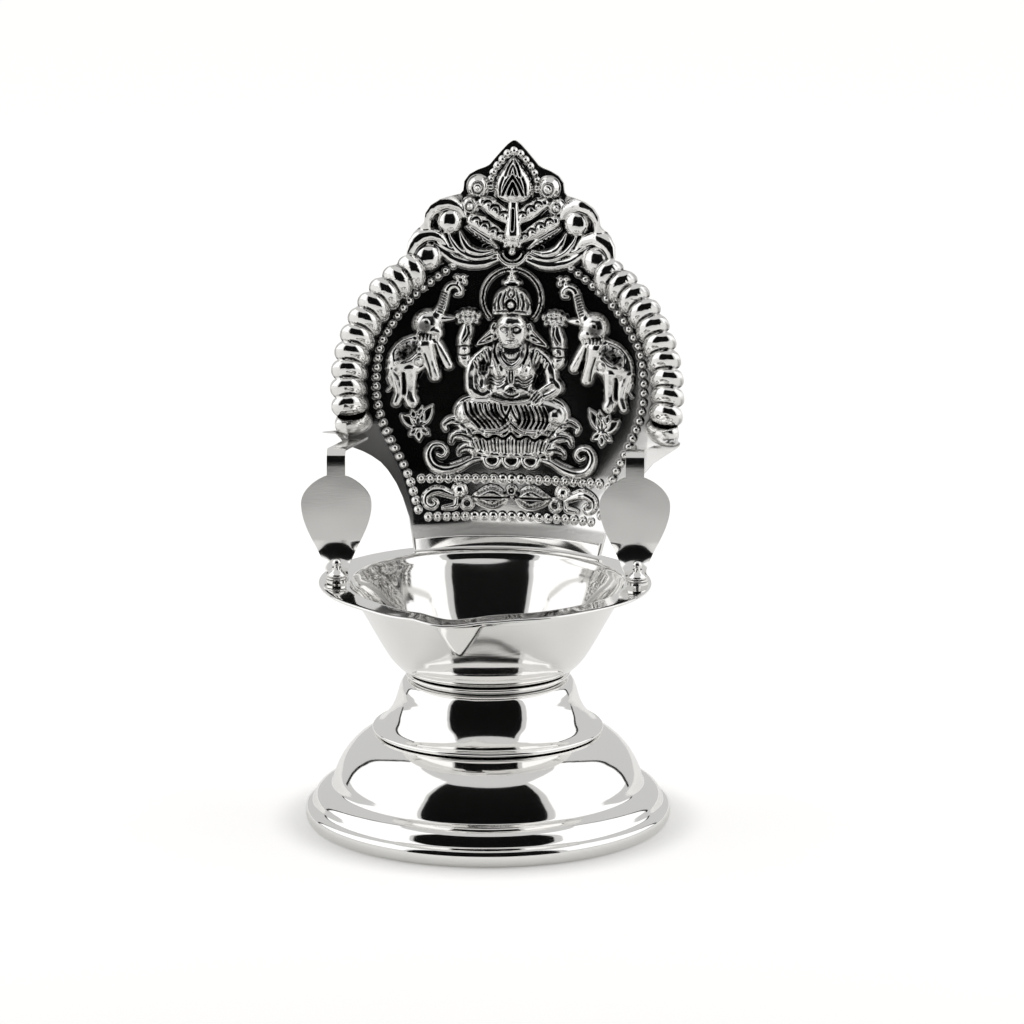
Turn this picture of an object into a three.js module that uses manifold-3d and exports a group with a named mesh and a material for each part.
// A free-standing oil lamp in polished silver sheet: a stepped spun foot, a screw-on bowl with a wick
// spout, and an embossed arched backplate tied to the bowl's rim by two leaf-shaped stays.
// Millimetres, +Z up, the spout towards -Y, the origin at the centre of the foot's underside.
import * as THREE from 'three';
import { mergeVertices } from 'three/addons/utils/BufferGeometryUtils.js';
import Module from 'manifold-3d';

const wasm = await Module();
wasm.setup();

const GAP = 0.3;                  // between pieces that touch
const SHEET = 1.0;                // wall of the spun shells
const TURN_STEPS = 40;            // facets round a spun piece
const BOWL_STEPS = 56;            // facets round the bowl, which carries the spout
const SMALL_STEPS = 12;           // facets round a small turned piece
const CUT_PAST = 1.0;             // how far a hole's cutter runs past the sheet that it goes through

// Foot and dome
const FOOT_RADIUS = 49.9;
const FOOT_HEM = 3.6;             // width of the flat turned-in edge that the lamp stands on
const LIP_HEIGHT = 5.0;
const LIP_ROUND = 1.3;
const STEP_RADIUS = 47.9;         // foot of the steep step above the lip
const CREASE_RADIUS = 43.0;       // where the dome rises from the step
const CREASE_HEIGHT = 10.0;
const DOME_DECK_RADIUS = 30.0;
const DOME_DECK_HEIGHT = 25.0;
const DOME_HOLE_RADIUS = 20.0;

// Closing disc under the foot
const DISC_THICKNESS = 0.8;
const DISC_LIFT = 1.4;            // underside of the disc above the table

// Upper cone of the pedestal
const CONE_LIP_RADIUS = 31.5;
const CONE_LIP_THICKNESS = 1.1;
const CONE_HEM = 5.0;
const CONE_HEIGHT = 14.3;
const CONE_WAIST_RADIUS = 24.6;
const CONE_TOP_RADIUS = 23.6;
const CONE_TOP_ROUND = 1.2;

// Screw joint between pedestal and bowl
const STUD_RADIUS = 3.0;
const STUD_LENGTH = 8.0;
const STUD_CHAMFER = 0.5;
const STUD_FLANGE_RADIUS = 8.6;
const BUSH_WALL = 2.8;
const BUSH_LENGTH = 9.0;
const BUSH_FLANGE = 2.6;
const BUSH_FLANGE_THICKNESS = 1.6;
const WASHER_RADIUS = 21.0;
const WASHER_WIDTH = 10.5;
const WASHER_THICKNESS = 0.4;
const RING_RADIUS = 22.4;
const RING_WIDTH = 10.0;
const RING_THICKNESS = 0.6;

// Bowl
const BOWL_FLOOR_RADIUS = 19.8;
const BOWL_TURN_RADIUS = 27.2;    // where the rounded foot of the wall ends
const BOWL_TURN_HEIGHT = 5.0;
const BOWL_SHOULDER_RADIUS = 37.2;
const BOWL_HEIGHT = 25.2;         // underside of the floor to the top of the rim
const FLANGE_WIDTH = 7.9;         // flat rim outside the shoulder of the wall
const RIM_THICKNESS = 1.0;
const RIM_ROUND = 0.6;
const SPOUT_TURN = -7.5;          // degrees round from straight ahead
const SPOUT_REACH = 3.0;          // how far the lip is drawn out
const SPOUT_DIP = 2.4;            // how far the lip is pressed down
const SPOUT_HALF_WIDTH = 8.2;
const SPOUT_LENGTH = 15.0;        // from the rim down the wall to the point of its crease
const SPOUT_TIP_WIDTH = 0.4;      // half width of the crease at that point

// Backplate, drawn flat and then curved round the back of the rim
const PLATE_THICKNESS = 1.0;
const PLATE_HEIGHT = 114.4;
const PLATE_LEAN = 1.0;           // degrees
const PLATE_INSET = 3.1;          // its middle stands this far in from the rim's edge
const PLATE_CURVE_RADIUS = 139.0; // of its upper part
const CURVE_FADE = 12.0;          // height over which the foot's tight curve opens out
const PLATE_FOOT_HALF_WIDTH = 28.4;
const SHOULDER_OVERHANG = 9.2;    // how far the shoulder reaches past the middle of a stay
const SHOULDER_HEIGHT = 31.4;
const LOW_ZONE = 6.0;             // height of the tightly curved foot, which gets the finer facets
const LOW_STEP = 7.2;             // longest facet edge there
const HIGH_STEP = 26.0;           // widest facet above it

// Gadroons: a band of lobes along an arch on each side of the plate
const BAND_CENTRE_ACROSS = 8.2;
const BAND_CENTRE_UP = 45.0;
const BAND_RADIUS = 43.2;
const GADROONS = 11;
const GADROON_START = -14.0;      // degrees round the arch
const GADROON_PITCH = 7.25;
const GADROON_HALF_LENGTH = 5.3;
const GADROON_HALF_WIDTH = 2.55;
const GADROON_TILT = 16;
const GADROON_RISE = 2.3;

// Half lengths from which a boss gets more facets round it, and more facets up it
const MIDDLE_BOSS = 3;
const LARGE_BOSS = 7;
const BOSS_ROUND = { small: 5, middle: 8 };
const BOSS_UP = { small: 4, large: 6 };

// Ring behind the figure's head
const HALO_RADIUS = 8.4;
const HALO_UP = 70.0;

// Rows of beads
const BEAD_RADIUS = 1.05;
const BEAD_PITCH = 2.62;
const BEAD_ROW_LOW = 8.2;
const BEAD_ROW_HIGH = 19.2;

// Curved strip that holds the plate's foot to the rim
const STRIP_HEIGHT = 3.2;
const STRIP_THICKNESS = 0.8;
const STRIP_STEPS = 14;           // facets along it

// Leaf-shaped stays, one strip of sheet each, bent up from the rim and back to the plate
const STUD_INSET = 4.2;           // from the rim's edge in to the middle of each stud
const STUD_FORWARD = 5.5;         // the line between the studs runs this far in front of the axis
const STAY_TURN = 7.0;            // degrees that this line is turned, left stud forwards
const STAY_THICKNESS = 0.7;
const TAB_RADIUS = 2.9;           // round end of the stay's foot, under the nut
const NECK_HALF_WIDTH = 2.9;
const NECK_LENGTH = 4.0;          // from the end of the flat foot to where the leaf starts to widen
const FOOT_BEND = 8.7;
const LEAF_LENGTH = 27.9;         // from the neck to its shoulders, along the strip
const LEAF_WIDEST = 20.1;         // from the neck to its widest place
const LEAF_HALF_WIDTH = 9.6;
const STRAP_HALF_WIDTH = 2.5;
const STRAP_LENGTH = 3.7;         // between the leaf's shoulders and the upper bend
const TOP_BEND = 2.6;
const LANDING_HEIGHT = 30.5;      // up the plate, where the strap's end meets it
const STAY_STEPS = { footBend: 6, leaf: 4, shoulders: 6, topBend: 4 };

// Studs, washers and finial nuts on the rim
const RIM_STUD_RADIUS = 1.0;
const RIM_STUD_HEAD_RADIUS = 2.4;
const RIM_STUD_HEAD = 1.2;
const NUT_RADIUS = 2.6;
const NUT_HEIGHT = 4.8;
const NUT_BALL_RADIUS = 1.25;
const NUT_GRIP = 1.9;             // depth of the thread in the nut
const NUT_WASHER_RADIUS = 2.9;
const NUT_WASHER_THICKNESS = 0.4;

// Places and heights that follow from the sizes above
const rimRadius = BOWL_SHOULDER_RADIUS + FLANGE_WIDTH;
const studCircle = rimRadius - STUD_INSET;
const shoulderHalfWidth = studCircle + SHOULDER_OVERHANG;
const plateBack = rimRadius - PLATE_INSET;
const plateFootCurve = plateBack - PLATE_THICKNESS / 2;
const coneBase = DOME_DECK_HEIGHT + GAP;
const coneTop = coneBase + CONE_HEIGHT;
const washerBase = coneTop + GAP;
const ringBase = washerBase + WASHER_THICKNESS + GAP;
const bowlBase = ringBase + RING_THICKNESS + GAP;
const rimTop = bowlBase + BOWL_HEIGHT;
const rimUnder = rimTop - RIM_THICKNESS;
const plateFoot = rimTop + GAP;
const stayFoot = rimTop + GAP;
const nutWasherBase = stayFoot + STAY_THICKNESS + GAP;
const nutBase = nutWasherBase + NUT_WASHER_THICKNESS + GAP;
const bushHole = STUD_RADIUS + GAP;
const rimStudHole = RIM_STUD_RADIUS + GAP;

// Where a stud stands on the rim, [across, back], for side -1 on the left and 1 on the right
function studPlace(side) {
  const forward = Math.asin(STUD_FORWARD / studCircle);
  const angle = THREE.MathUtils.degToRad(STAY_TURN) - side * forward;
  return [side * studCircle * Math.cos(angle), side * studCircle * Math.sin(angle)];
}

// One closed body from any geometry, with only its positions kept
function solid(geometry) {
  const bare = geometry.index ? geometry.toNonIndexed() : geometry.clone();
  const points = new THREE.BufferGeometry().setAttribute('position', bare.getAttribute('position'));
  const merged = mergeVertices(points, 1e-4);
  return new wasm.Manifold(new wasm.Mesh({
    numProp: 3,
    vertProperties: new Float32Array(merged.attributes.position.array),
    triVerts: new Uint32Array(merged.index.array),
  }));
}

function geometryOf(body) {
  const mesh = body.getMesh();
  const positions = new Float32Array(mesh.numVert * 3);
  for (let i = 0; i < mesh.numVert; i += 1) {
    positions.set(mesh.vertProperties.subarray(i * mesh.numProp, i * mesh.numProp + 3), i * 3);
  }
  const geometry = new THREE.BufferGeometry();
  geometry.setAttribute('position', new THREE.BufferAttribute(positions, 3));
  geometry.setIndex(new THREE.BufferAttribute(new Uint32Array(mesh.triVerts), 1));
  return geometry;
}

// A revolved body about Z from [radius, height] pairs that start and end on the axis or form a loop
function revolve(profile, steps = TURN_STEPS) {
  const loop = profile[0][0] === 0 ? profile : [...profile, profile[0]];
  let area = 0;
  loop.forEach(([r, z], i) => {
    const [nextR, nextZ] = loop[(i + 1) % loop.length];
    area += r * nextZ - nextR * z;
  });
  const ordered = area > 0 ? loop : [...loop].reverse();
  const points = ordered.map(([r, z]) => new THREE.Vector2(r, z));
  return new THREE.LatheGeometry(points, steps).rotateX(Math.PI / 2);
}

// Points along a smooth curve through the given pairs
function smooth(pairs, steps) {
  const curve = new THREE.SplineCurve(pairs.map(([r, z]) => new THREE.Vector2(r, z)));
  return curve.getPoints(steps).map((p) => [p.x, p.y]);
}

// The same line moved to its left, which gives a sheet its second face
function offsetLine(line, distance) {
  return line.map(([r, z], i) => {
    const [r0, z0] = line[Math.max(i - 1, 0)];
    const [r1, z1] = line[Math.min(i + 1, line.length - 1)];
    const length = Math.hypot(r1 - r0, z1 - z0);
    return [r - (z1 - z0) * distance / length, z + (r1 - r0) * distance / length];
  });
}

// A spun sheet: its outer line, and every second point of its hidden inner face
function spunSheet(line, wall) {
  const inner = offsetLine(line, wall).filter((point, i) => i % 2 === 0 || i === line.length - 1);
  return revolve([...line, ...inner.reverse()]);
}

function tube(outer, inner, bottom, top, steps = TURN_STEPS) {
  return revolve([[inner, bottom], [outer, bottom], [outer, top], [inner, top]], steps);
}

function rod(radius, bottom, top, steps = SMALL_STEPS) {
  return new THREE.CylinderGeometry(radius, radius, top - bottom, steps)
    .rotateX(Math.PI / 2).translate(0, 0, (top + bottom) / 2);
}

// A bar of four-cornered sections, one after the other
function bar(sections) {
  const faces = [];
  for (let i = 1; i < sections.length; i += 1) {
    const low = (i - 1) * 4;
    const high = i * 4;
    for (let k = 0; k < 4; k += 1) {
      const next = (k + 1) % 4;
      faces.push(low + k, low + next, high + next, low + k, high + next, high + k);
    }
  }
  const last = (sections.length - 1) * 4;
  faces.push(0, 2, 1, 0, 3, 2, last, last + 1, last + 2, last, last + 2, last + 3);
  const geometry = new THREE.BufferGeometry();
  const positions = new Float32Array(sections.flat(2));
  geometry.setAttribute('position', new THREE.BufferAttribute(positions, 3));
  geometry.setIndex(faces);
  return geometry;
}

function footShell() {
  const rise = DOME_DECK_HEIGHT - CREASE_HEIGHT;
  const run = CREASE_RADIUS - DOME_DECK_RADIUS;
  const tread = STEP_RADIUS - CREASE_RADIUS;
  const step = CREASE_HEIGHT - LIP_HEIGHT;
  return spunSheet([
    [FOOT_RADIUS - FOOT_HEM, 0],
    ...smooth([[FOOT_RADIUS - LIP_ROUND, 0], [FOOT_RADIUS, LIP_HEIGHT / 2],
      [FOOT_RADIUS - LIP_ROUND, LIP_HEIGHT]], 4),
    ...smooth([[STEP_RADIUS, LIP_HEIGHT + step * 0.1],
      [STEP_RADIUS - tread * 0.16, LIP_HEIGHT + step * 0.5],
      [STEP_RADIUS - tread * 0.48, LIP_HEIGHT + step * 0.83],
      [CREASE_RADIUS, CREASE_HEIGHT]], 5),
    ...smooth([[CREASE_RADIUS - run * 0.06, CREASE_HEIGHT + rise * 0.08],
      [CREASE_RADIUS - run * 0.14, CREASE_HEIGHT + rise * 0.27],
      [CREASE_RADIUS - run * 0.37, CREASE_HEIGHT + rise * 0.64],
      [CREASE_RADIUS - run * 0.76, CREASE_HEIGHT + rise * 0.93],
      [DOME_DECK_RADIUS, DOME_DECK_HEIGHT]], 8),
    [DOME_HOLE_RADIUS, DOME_DECK_HEIGHT],
  ], SHEET);
}

function bottomDisc() {
  const radius = FOOT_RADIUS - FOOT_HEM - GAP;
  const top = DISC_LIFT + DISC_THICKNESS;
  return revolve([[0, DISC_LIFT], [radius, DISC_LIFT], [radius, top], [0, top]]);
}

function pedestalCone() {
  const flare = CONE_LIP_RADIUS - CONE_WAIST_RADIUS;
  return spunSheet([
    [CONE_LIP_RADIUS - CONE_HEM, coneBase],
    [CONE_LIP_RADIUS - CONE_LIP_THICKNESS / 3, coneBase],
    [CONE_LIP_RADIUS, coneBase + CONE_LIP_THICKNESS / 2],
    ...smooth([[CONE_LIP_RADIUS - CONE_LIP_THICKNESS / 2, coneBase + CONE_LIP_THICKNESS],
      [CONE_LIP_RADIUS - flare * 0.32, coneBase + CONE_LIP_THICKNESS * 2.2],
      [CONE_LIP_RADIUS - flare * 0.77, coneBase + CONE_HEIGHT * 0.42],
      [CONE_WAIST_RADIUS, coneBase + CONE_HEIGHT * 0.66],
      [CONE_TOP_RADIUS, coneTop - CONE_TOP_ROUND],
      [CONE_TOP_RADIUS - CONE_TOP_ROUND, coneTop]], 7),
    [bushHole + BUSH_WALL + GAP, coneTop],
  ], SHEET);
}

function threadedBush() {
  const deck = coneTop - SHEET - GAP;
  const neck = bushHole + BUSH_WALL;
  return revolve([
    [bushHole, coneTop - BUSH_LENGTH], [neck, coneTop - BUSH_LENGTH],
    [neck, deck - BUSH_FLANGE_THICKNESS], [neck + BUSH_FLANGE, deck - BUSH_FLANGE_THICKNESS],
    [neck + BUSH_FLANGE, deck], [neck, deck], [neck, coneTop], [bushHole, coneTop],
  ], SMALL_STEPS * 2);
}

function bowlStud() {
  const foot = coneTop - STUD_LENGTH;
  const flangeBottom = washerBase;
  const flangeTop = bowlBase - GAP;
  return revolve([
    [0, foot], [STUD_RADIUS - STUD_CHAMFER, foot], [STUD_RADIUS, foot + STUD_CHAMFER],
    [STUD_RADIUS, flangeBottom], [STUD_FLANGE_RADIUS, flangeBottom],
    [STUD_FLANGE_RADIUS, flangeTop], [0, flangeTop],
  ], SMALL_STEPS * 2);
}

// Draws the wick spout out of the spun bowl: a channel that widens up the wall and dips at the rim
function drawSpout(geometry) {
  const position = geometry.getAttribute('position');
  for (let i = 0; i < position.count; i += 1) {
    const x = position.getX(i);
    const y = position.getY(i);
    const z = position.getZ(i);
    const climb = THREE.MathUtils.clamp(1 - (rimTop - z) / SPOUT_LENGTH, 0, 1);
    const halfWidth = THREE.MathUtils.lerp(SPOUT_TIP_WIDTH, SPOUT_HALF_WIDTH, climb);
    const share = y < 0 ? Math.max(0, 1 - Math.abs(x / halfWidth) ** 1.7) * climb : 0;
    position.setXYZ(i, x, y - share * SPOUT_REACH, z - share * climb * SPOUT_DIP);
  }
  return geometry.rotateZ(THREE.MathUtils.degToRad(SPOUT_TURN));
}

function bowlWall() {
  const slope = BOWL_SHOULDER_RADIUS - BOWL_TURN_RADIUS;
  return [
    ...smooth([[BOWL_FLOOR_RADIUS, bowlBase],
      [(BOWL_FLOOR_RADIUS + BOWL_TURN_RADIUS * 2) / 3, bowlBase + BOWL_TURN_HEIGHT * 0.36],
      [BOWL_TURN_RADIUS, bowlBase + BOWL_TURN_HEIGHT],
      [BOWL_TURN_RADIUS + slope * 0.5, bowlBase + BOWL_HEIGHT * 0.6],
      [BOWL_SHOULDER_RADIUS, rimUnder - RIM_THICKNESS],
      [BOWL_SHOULDER_RADIUS + RIM_THICKNESS, rimUnder]], 9),
    [rimRadius - RIM_ROUND, rimUnder],
  ];
}

function oilBowl() {
  const under = bowlWall();
  const inside = offsetLine(under.slice(0, -1), SHEET);
  inside[0] = [BOWL_FLOOR_RADIUS, bowlBase + SHEET];
  inside[inside.length - 1] = [BOWL_SHOULDER_RADIUS, rimTop];
  const body = solid(drawSpout(revolve([
    [0, bowlBase], ...under, [rimRadius, rimUnder + RIM_THICKNESS / 2],
    [rimRadius - RIM_ROUND, rimTop], ...inside.reverse(), [0, bowlBase + SHEET],
  ], BOWL_STEPS)));
  const holes = [-1, 1].map((side) => solid(
    rod(rimStudHole, rimUnder - CUT_PAST, rimTop + CUT_PAST).translate(...studPlace(side), 0),
  ));
  return geometryOf(holes.reduce((left, hole) => left.subtract(hole), body));
}

// Half outline of the plate's waist and shoulder, [across, up]
function waistLine() {
  const foot = PLATE_FOOT_HALF_WIDTH;
  const reach = shoulderHalfWidth - foot;
  return smooth([[foot, 0], [foot + reach * 0.03, SHOULDER_HEIGHT * 0.27],
    [foot + reach * 0.1, SHOULDER_HEIGHT * 0.46], [foot + reach * 0.34, SHOULDER_HEIGHT * 0.76],
    [foot + reach * 0.66, SHOULDER_HEIGHT * 0.9], [shoulderHalfWidth, SHOULDER_HEIGHT]], 10);
}

function bandPoint(degrees, inset = 0) {
  const angle = THREE.MathUtils.degToRad(degrees);
  const radius = BAND_RADIUS - inset;
  return [BAND_CENTRE_ACROSS + radius * Math.cos(angle), BAND_CENTRE_UP + radius * Math.sin(angle)];
}

function scallops() {
  const notch = GADROON_PITCH * 0.46;
  const line = [];
  for (let i = 0; i < GADROONS; i += 1) {
    const middle = GADROON_START + GADROON_PITCH * i;
    line.push(bandPoint(middle - notch, 0.9), bandPoint(middle), bandPoint(middle + notch, 0.9));
  }
  return line;
}

// Stepped scrolls above the gadroons, from the outside in to the tip, measured down from the tip
function crestLine() {
  return [[29.7, -32.0], [29.4, -28.2], [27.6, -25.8], [25.4, -24.4], [24.8, -22.4], [24.0, -19.2],
    [21.5, -16.4], [18.0, -15.4], [14.8, -15.0], [13.8, -14.0], [13.4, -11.4], [12.0, -9.2],
    [9.6, -7.8], [7.5, -7.4], [5.6, -5.2], [3.0, -1.8], [0, 0]]
    .map(([u, down]) => [u, PLATE_HEIGHT + down]);
}

function flatPlate() {
  const half = [...waistLine(), ...scallops(), ...crestLine()];
  const mirrored = half.slice(0, -1).reverse().map(([u, v]) => [-u, v]);
  const shape = new THREE.Shape([...half, ...mirrored].map(([u, v]) => new THREE.Vector2(u, v)));
  return solid(new THREE.ExtrudeGeometry(shape, { depth: PLATE_THICKNESS, bevelEnabled: false }));
}

// A rounded boss on the flat plate: half lengths along and across, turned by degrees, and its rise
function boss([u, v, along, across, degrees, rise]) {
  const size = Math.max(along, across);
  const round = size > MIDDLE_BOSS ? BOSS_ROUND.middle : BOSS_ROUND.small;
  const up = size > LARGE_BOSS ? BOSS_UP.large : BOSS_UP.small;
  const geometry = new THREE.SphereGeometry(1, round, up)
    .rotateX(Math.PI / 2)
    .scale(along, across, rise)
    .rotateZ(THREE.MathUtils.degToRad(degrees))
    .translate(u, v, PLATE_THICKNESS);
  return solid(geometry);
}

function mirror([u, v, along, across, degrees, rise]) {
  return [-u, v, along, across, -degrees, rise];
}

function gadroons() {
  const made = [];
  for (let i = 0; i < GADROONS; i += 1) {
    const degrees = GADROON_START + GADROON_PITCH * i;
    const [u, v] = bandPoint(degrees, GADROON_HALF_LENGTH);
    made.push([u, v, GADROON_HALF_LENGTH, GADROON_HALF_WIDTH, degrees - GADROON_TILT, GADROON_RISE]);
  }
  return made;
}

function bead([u, v]) {
  return [u, v, BEAD_RADIUS, BEAD_RADIUS, 0, BEAD_RADIUS];
}

// Beads round the shrine, from the foot up the waist and over the arch to the crest
function beadArch() {
  const inside = GADROON_HALF_LENGTH * 2 + BEAD_RADIUS;
  const curve = new THREE.SplineCurve([
    [PLATE_FOOT_HALF_WIDTH - BEAD_RADIUS * 2, BEAD_ROW_LOW + BEAD_PITCH],
    [PLATE_FOOT_HALF_WIDTH, BEAD_ROW_HIGH - BEAD_PITCH],
    [PLATE_FOOT_HALF_WIDTH + BEAD_PITCH * 1.6, BEAD_ROW_HIGH + BEAD_PITCH * 2.8],
    bandPoint(-14, inside), bandPoint(4, inside), bandPoint(22, inside), bandPoint(40, inside),
    bandPoint(58, inside), bandPoint(72, inside - 1),
  ].map(([u, v]) => new THREE.Vector2(u, v)));
  const count = Math.round(curve.getLength() / BEAD_PITCH);
  return curve.getSpacedPoints(count).map((p) => bead([p.x, p.y]));
}

function beadRows() {
  const made = [];
  const last = Math.floor((PLATE_FOOT_HALF_WIDTH - BEAD_RADIUS * 2) / BEAD_PITCH);
  for (let i = -last; i <= last; i += 1) {
    made.push(bead([i * BEAD_PITCH, BEAD_ROW_LOW]), bead([i * BEAD_PITCH, BEAD_ROW_HIGH]));
  }
  return made;
}

// Volutes, ribbed lobes and leaf sweeps above the arch, on one side
function crestScrolls() {
  return [[23.6, 84.0, 5.2, 5.2, 0, 3.0], [19.2, 93.2, 5.4, 5.2, 0, 3.0], [10.1, 102.2, 3.5, 3.5, 0, 2.3],
    [12.4, 97.0, 2.7, 2.7, 0, 2.2], [8.2, 90.6, 6.2, 2.3, 24, 2.2], [6.2, 96.4, 4.6, 2.1, 38, 2.2],
    [11.0, 80.2, 7.8, 1.8, 2, 2.3], [10.6, 84.6, 6.8, 2.6, 14, 2.4]];
}

function crestMiddle() {
  return [[0, 103.4, 5.3, 6.8, 0, 2.9], [0, 93.4, 1.6, 4.6, 0, 2.5], [0, 86.6, 3.6, 2.4, 0, 2.2],
    [0, 83.2, 1.5, 1.5, 0, 2.4], [0, 80.3, 3.8, 1.4, 0, 1.9]];
}

// The seated figure: head, crown, torso and lap in the middle; arms, lotuses and knees on each side
function figureMiddle() {
  return [[0, 61.6, 4.5, 5.6, 0, 3.6], [0, 69.4, 5.7, 4.7, 0, 3.4], [0, 75.2, 2.7, 3.6, 0, 2.6],
    [0, 50.6, 9.2, 8.4, 0, 2.6], [0, 37.6, 8.4, 5.0, 0, 2.9]];
}

function figureSide() {
  return [[12.3, 66.0, 3.5, 2.4, 0, 2.3], [13.0, 57.0, 2.4, 6.2, -4, 2.4], [10.8, 50.4, 2.2, 6.4, 30, 2.7],
    [8.3, 46.2, 2.4, 4.4, 0, 3.1], [10.6, 37.4, 6.6, 4.3, -6, 3.0], [6.2, 29.0, 6.6, 3.6, 0, 2.6],
    [14.9, 33.4, 4.8, 2.2, 20, 2.1]];
}

function lotusSeat() {
  return [[0, 29.0, 5.0, 3.6, 0, 2.6], [0, 24.4, 2.5, 1.6, 0, 1.8]];
}

function footScroll() {
  return [[21.0, 26.4, 3.6, 3.7, 0, 2.2], [13.8, 23.6, 6.4, 1.9, -6, 2.0], [5.2, 24.2, 2.6, 1.6, 0, 1.8]];
}

// An elephant facing the figure with its trunk raised: body, head, legs, trunk and tusk
function elephant() {
  return [[27.6, 53.8, 6.4, 5.4, -42, 2.6], [23.4, 63.0, 4.5, 4.1, 0, 2.6], [29.8, 45.2, 3.6, 6.0, 0, 2.4],
    [20.8, 51.6, 2.8, 5.0, 20, 2.3], [18.7, 69.2, 1.4, 4.6, 8, 2.1], [15.8, 72.4, 1.8, 1.9, 0, 2.0],
    [18.0, 64.4, 2.2, 0.9, 0, 2.0]];
}

function lotusSprig() {
  return [[29.6, 36.0, 3.1, 1.5, 40, 1.4], [24.2, 37.4, 1.5, 3.3, 20, 1.4], [26.4, 32.6, 1.2, 3.0, 0, 1.1]];
}

// Leaves, balls and comma scrolls between the two straight rows of beads
function borderPanel() {
  return [[6.0, 13.9, 5.4, 3.1, 0, 1.5], [14.8, 15.8, 2.1, 2.1, 0, 1.9], [12.6, 12.0, 1.6, 1.6, 0, 1.4],
    [20.4, 14.8, 4.4, 1.7, -6, 1.7], [23.2, 12.6, 2.0, 1.8, 0, 1.4]];
}

function haloRing() {
  return solid(new THREE.TorusGeometry(HALO_RADIUS, BEAD_RADIUS / 2, 4, 20)
    .translate(0, HALO_UP, PLATE_THICKNESS));
}

// Splits every edge that runs too far across, more finely low down, so that flat faces can curve
function splitWide(geometry) {
  const source = geometry.getAttribute('position');
  const points = [];
  for (let i = 0; i < source.count; i += 1) {
    points.push([source.getX(i), source.getY(i), source.getZ(i)]);
  }
  const tooWide = (a, b) => {
    const across = Math.abs(points[a][0] - points[b][0]);
    const up = Math.abs(points[a][1] - points[b][1]);
    const low = Math.min(points[a][1], points[b][1]) < LOW_ZONE;
    return across > HIGH_STEP || (low && Math.max(across, up) > LOW_STEP);
  };
  let faces = [];
  const index = geometry.index.array;
  for (let i = 0; i < index.length; i += 3) {
    faces.push([index[i], index[i + 1], index[i + 2]]);
  }
  let again = true;
  while (again) {
    const middles = new Map();
    const middle = (a, b) => {
      const key = Math.min(a, b) * points.length + Math.max(a, b);
      if (tooWide(a, b) && !middles.has(key)) {
        middles.set(key, [0, 1, 2].map((k) => (points[a][k] + points[b][k]) / 2));
      }
      return middles.has(key) ? key : -1;
    };
    const cuts = faces.map(([a, b, c]) => [middle(a, b), middle(b, c), middle(c, a)]);
    const places = new Map();
    middles.forEach((point, key) => {
      places.set(key, points.length);
      points.push(point);
    });
    faces = faces.flatMap((face, i) => splitFace(face, cuts[i].map((key) => places.get(key))));
    again = middles.size > 0;
  }
  const made = new THREE.BufferGeometry();
  made.setAttribute('position', new THREE.BufferAttribute(new Float32Array(points.flat()), 3));
  made.setIndex(faces.flat());
  return made;
}

// The smaller faces that a triangle gives when up to three of its edges have a middle point
function splitFace([a, b, c], [ab, bc, ca]) {
  const ring = [a, ab, b, bc, c, ca];
  const cut = [1, 3, 5].filter((k) => ring[k] !== undefined);
  const at = (k, n) => ring[(k + n) % 6];
  if (cut.length === 0) {
    return [[a, b, c]];
  }
  if (cut.length === 3) {
    return [[a, ab, ca], [ab, b, bc], [ca, bc, c], [ab, bc, ca]];
  }
  if (cut.length === 1) {
    const k = cut[0];
    return [[at(k, 0), at(k, 1), at(k, 3)], [at(k, 0), at(k, 3), at(k, 5)]];
  }
  const k = [1, 3, 5].find((n) => ring[n] === undefined);
  return [[at(k, 1), at(k, 2), at(k, 4)], [at(k, 2), at(k, 3), at(k, 4)], [at(k, 5), at(k, 1), at(k, 4)]];
}

// Where a point of the flat plate lies once the plate is curved and set up: across, up, and forwards
function onPlate(u, v, w) {
  const upper = 1 / PLATE_CURVE_RADIUS;
  const foot = 1 / plateFootCurve;
  const bend = upper + (foot - upper) * Math.exp(-Math.max(v, 0) / CURVE_FADE);
  const lean = THREE.MathUtils.degToRad(PLATE_LEAN);
  const turn = bend * u;
  return [
    Math.sin(turn) / bend - Math.sin(turn) * w,
    plateBack + v * Math.sin(lean) - (1 - Math.cos(turn)) / bend - Math.cos(turn) * w,
    plateFoot + v * Math.cos(lean),
  ];
}

function curveOntoPlate(geometry) {
  const position = geometry.getAttribute('position');
  for (let i = 0; i < position.count; i += 1) {
    const forwards = position.getZ(i) - PLATE_THICKNESS / 2;
    position.setXYZ(i, ...onPlate(position.getX(i), position.getY(i), forwards));
  }
  return geometry;
}

function backplate() {
  const sides = [...gadroons(), ...beadArch(), ...crestScrolls(), ...figureSide(), ...footScroll(),
    ...elephant(), ...lotusSprig(), ...borderPanel()];
  const middle = [...beadRows(), ...crestMiddle(), ...figureMiddle(), ...lotusSeat()];
  const bosses = [...sides, ...sides.map(mirror), ...middle].map(boss);
  const body = [haloRing(), ...bosses].reduce((left, piece) => left.add(piece), flatPlate());
  const reach = PLATE_HEIGHT * 2;
  const behind = solid(new THREE.BoxGeometry(reach, reach, reach).translate(0, reach / 2, -reach / 2));
  return curveOntoPlate(splitWide(geometryOf(body.subtract(behind))));
}

function footStrip() {
  const near = PLATE_THICKNESS / 2 + GAP;
  const far = near + STRIP_THICKNESS;
  const sections = [];
  for (let i = 0; i <= STRIP_STEPS; i += 1) {
    const u = PLATE_FOOT_HALF_WIDTH * (2 * i / STRIP_STEPS - 1);
    sections.push([[0, near], [STRIP_HEIGHT, near], [STRIP_HEIGHT, far], [0, far]]
      .map(([v, w]) => onPlate(u, v, w)));
  }
  return bar(sections);
}

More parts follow.
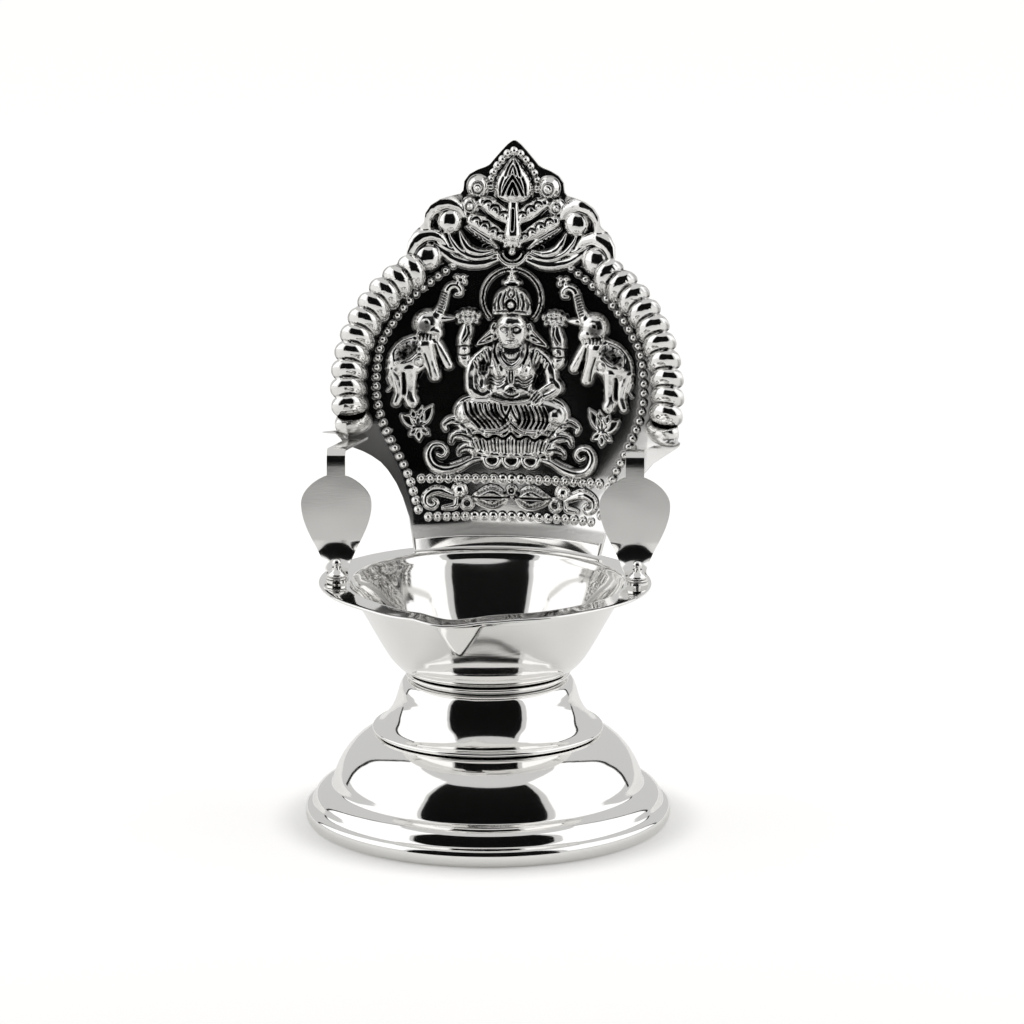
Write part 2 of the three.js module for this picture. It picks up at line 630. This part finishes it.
// Half width of a stay at a distance along its strip from the round end of its foot
function stayHalfWidth(along) {
  const widest = stayNeck + LEAF_WIDEST;
  const leafTop = stayNeck + LEAF_LENGTH;
  if (along < TAB_RADIUS) {
    return Math.sqrt(TAB_RADIUS ** 2 - (TAB_RADIUS - along) ** 2);
  }
  if (along < stayNeck) {
    return THREE.MathUtils.mapLinear(along, TAB_RADIUS, stayNeck, TAB_RADIUS, NECK_HALF_WIDTH);
  }
  if (along > leafTop) {
    return STRAP_HALF_WIDTH;
  }
  if (along < widest) {
    const share = (along - stayNeck) / LEAF_WIDEST;
    return NECK_HALF_WIDTH + (LEAF_HALF_WIDTH - NECK_HALF_WIDTH) * Math.sin(share * Math.PI / 2) ** 1.7;
  }
  const share = (along - widest) / (leafTop - widest);
  const round = Math.max(0, 1 - share ** 2) ** 0.8;
  return STRAP_HALF_WIDTH + (LEAF_HALF_WIDTH - STRAP_HALF_WIDTH) * round;
}

const stayTab = TAB_RADIUS * 2;
const stayNeck = stayTab + NECK_LENGTH;
const stayLeafStart = stayTab + FOOT_BEND * Math.PI / 2;
const stayBendStart = stayNeck + LEAF_LENGTH + STRAP_LENGTH;

// Place and direction of the stay's strip up to its top, at a distance along it: [back, up, heading]
function stayPath(along) {
  if (along <= stayTab) {
    return [along - TAB_RADIUS, 0, 0];
  }
  if (along < stayLeafStart) {
    const turn = (along - stayTab) / FOOT_BEND;
    return [TAB_RADIUS + FOOT_BEND * Math.sin(turn), FOOT_BEND * (1 - Math.cos(turn)), turn];
  }
  const face = TAB_RADIUS + FOOT_BEND;
  const straight = Math.min(along, stayBendStart) - stayLeafStart;
  const turn = Math.max(along - stayBendStart, 0) / TOP_BEND;
  return [face + TOP_BEND * (1 - Math.cos(turn)),
    FOOT_BEND + straight + TOP_BEND * Math.sin(turn), Math.PI / 2 - turn];
}

// How far back the plate's front face lies at a place across and up
function plateFront(across, up) {
  let u = across;
  for (let i = 0; i < 8; i += 1) {
    u += across - onPlate(u, up, PLATE_THICKNESS / 2)[0];
  }
  return onPlate(u, up, PLATE_THICKNESS / 2)[1];
}

// Four corners of the strip's section at a distance along it: [across, back, up] from the stud
function staySection(along) {
  const [back, up, heading] = stayPath(along);
  const half = stayHalfWidth(along);
  return [[-half, 0], [-half, STAY_THICKNESS], [half, STAY_THICKNESS], [half, 0]]
    .map(([x, out]) => [x, back - Math.sin(heading) * out, up + Math.cos(heading) * out]);
}

// The strap's end, cut to lie along the plate: its corners run straight back from the upper bend
function stayEnd(corners, side, turn) {
  const [studX, studY] = studPlace(side);
  return corners.map(([x, y, z]) => {
    const across = studX + x * Math.cos(turn) - y * Math.sin(turn);
    const landing = plateFoot + LANDING_HEIGHT - stayFoot;
    const end = plateFront(across, LANDING_HEIGHT) - GAP - studY;
    const out = z - corners[0][2];
    const back = end * Math.cos(turn) - (across - studX) * Math.sin(turn);
    return [(across - studX) * Math.cos(turn) + end * Math.sin(turn), back, landing + out];
  });
}

// Distances along the strip at which its section is drawn, closer together where it bends
function stayStations() {
  const { footBend, leaf, shoulders, topBend } = STAY_STEPS;
  const widest = stayNeck + LEAF_WIDEST;
  const stations = [0.12, 0.5, 1].map((share) => TAB_RADIUS * share);
  for (let i = 0; i <= footBend; i += 1) {
    stations.push(THREE.MathUtils.lerp(stayTab, stayLeafStart, i / footBend));
  }
  for (let i = 1; i < leaf; i += 1) {
    stations.push(THREE.MathUtils.lerp(stayLeafStart, widest, i / leaf));
  }
  for (let i = 0; i <= shoulders; i += 1) {
    stations.push(widest + (LEAF_LENGTH - LEAF_WIDEST) * Math.sin(i / shoulders * Math.PI / 2));
  }
  for (let i = 0; i <= topBend; i += 1) {
    stations.push(stayBendStart + TOP_BEND * Math.PI / 2 * i / topBend);
  }
  return stations;
}

function stay(side) {
  const sections = stayStations().map(staySection);
  const turn = THREE.MathUtils.degToRad(STAY_TURN);
  sections.push(stayEnd(sections[sections.length - 1], side, turn));
  const strip = bar(sections).rotateZ(turn).translate(0, 0, stayFoot);
  const hole = solid(rod(rimStudHole, stayFoot - CUT_PAST, stayFoot + STAY_THICKNESS + CUT_PAST));
  return geometryOf(solid(strip).subtract(hole));
}

function rimStud() {
  const head = rimUnder - GAP;
  const bottom = head - RIM_STUD_HEAD;
  const top = nutBase + NUT_GRIP;
  return revolve([
    [0, bottom], [RIM_STUD_HEAD_RADIUS * 0.7, bottom], [RIM_STUD_HEAD_RADIUS, bottom + RIM_STUD_HEAD / 2],
    [RIM_STUD_HEAD_RADIUS, head], [RIM_STUD_RADIUS, head], [RIM_STUD_RADIUS, top], [0, top],
  ], SMALL_STEPS);
}

function nutWasher() {
  return tube(NUT_WASHER_RADIUS, rimStudHole, nutWasherBase, nutWasherBase + NUT_WASHER_THICKNESS,
    SMALL_STEPS);
}

function finialNut() {
  const top = nutBase + NUT_HEIGHT;
  const ball = NUT_BALL_RADIUS;
  const boreTop = nutBase + NUT_GRIP + GAP;
  return revolve([
    [rimStudHole, nutBase], [NUT_RADIUS, nutBase], [NUT_RADIUS, nutBase + NUT_HEIGHT * 0.1],
    [NUT_RADIUS * 0.8, nutBase + NUT_HEIGHT * 0.22], [NUT_RADIUS * 0.62, nutBase + NUT_HEIGHT * 0.45],
    [ball * 0.8, top - ball * 1.7], [ball, top - ball], [ball * 0.7, top - ball * 0.3], [0, top],
    [0, boreTop], [rimStudHole, boreTop], [rimStudHole, nutBase],
  ], SMALL_STEPS);
}

const SILVER = { color: 0xe9e8e4, roughness: 0.12, metalness: 1 };
const lamp = new THREE.Group();

function place(name, geometry, x = 0, y = 0) {
  const mesh = new THREE.Mesh(geometry, new THREE.MeshStandardMaterial(SILVER));
  mesh.name = name;
  mesh.position.set(x, y, 0);
  lamp.add(mesh);
}

place('foot_shell', footShell());
place('bottom_disc', bottomDisc());
place('pedestal_cone', pedestalCone());
place('threaded_bush', threadedBush());
place('neck_washer', tube(WASHER_RADIUS, WASHER_RADIUS - WASHER_WIDTH, washerBase,
  washerBase + WASHER_THICKNESS));
place('bowl_foot_ring', tube(RING_RADIUS, RING_RADIUS - RING_WIDTH, ringBase,
  ringBase + RING_THICKNESS));
place('bowl_stud', bowlStud());
place('oil_bowl', oilBowl());
place('backplate', backplate());
place('plate_foot_strip', footStrip());
[['left', -1], ['right', 1]].forEach(([name, side]) => {
  const [x, y] = studPlace(side);
  place(`stay_${name}`, stay(side), x, y);
  place(`rim_stud_${name}`, rimStud(), x, y);
  place(`nut_washer_${name}`, nutWasher(), x, y);
  place(`finial_nut_${name}`, finialNut(), x, y);
});

export default lamp;
